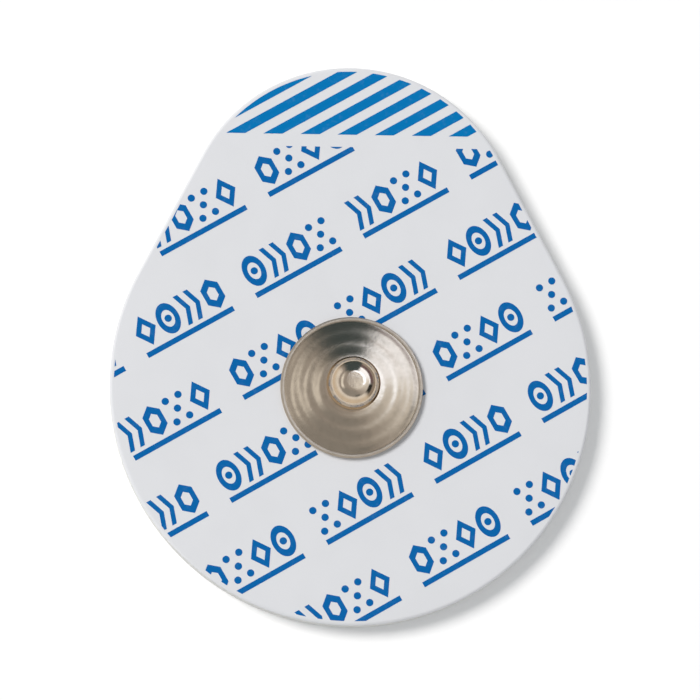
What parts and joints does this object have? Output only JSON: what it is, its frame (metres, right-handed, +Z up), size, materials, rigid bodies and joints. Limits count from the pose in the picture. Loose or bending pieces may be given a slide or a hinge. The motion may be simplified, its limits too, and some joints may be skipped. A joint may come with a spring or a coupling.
{
  "type": "ecg electrode",
  "caption": "Foam-backed adhesive skin electrode with a teardrop outline, a printed face film, a conductive gel well and a metal snap stud for a lead wire.",
  "frame": {"origin": "on the snap stud's axis, at the skin side of the gel pad", "axes": "+Z points up out of the snap head, +Y points to the narrow finger tab, X runs across the width"},
  "size_m": [0.0352, 0.0413, 0.0054],
  "materials": {
    "skin_adhesive": "clear tacky acrylic coat over white foam",
    "white_foam": "matt closed-cell foam, die-cut edge",
    "face_film": "satin white film with blue print",
    "conductive_gel": "wet, slightly milky hydrogel",
    "silver_chloride": "matt silver and silver chloride coat on moulded plastic",
    "plated_steel": "drawn sheet, satin nickel plating",
    "print_ink": "blue ink printed on the face film"
  },
  "bodies": {
    "root": {"skin_adhesive": "skin_adhesive", "foam_backing": "white_foam", "label_film": "face_film", "gel_pad": "conductive_gel", "sensor_eyelet": "silver_chloride", "snap_stud": "plated_steel"}
  },
  "joints": []
}
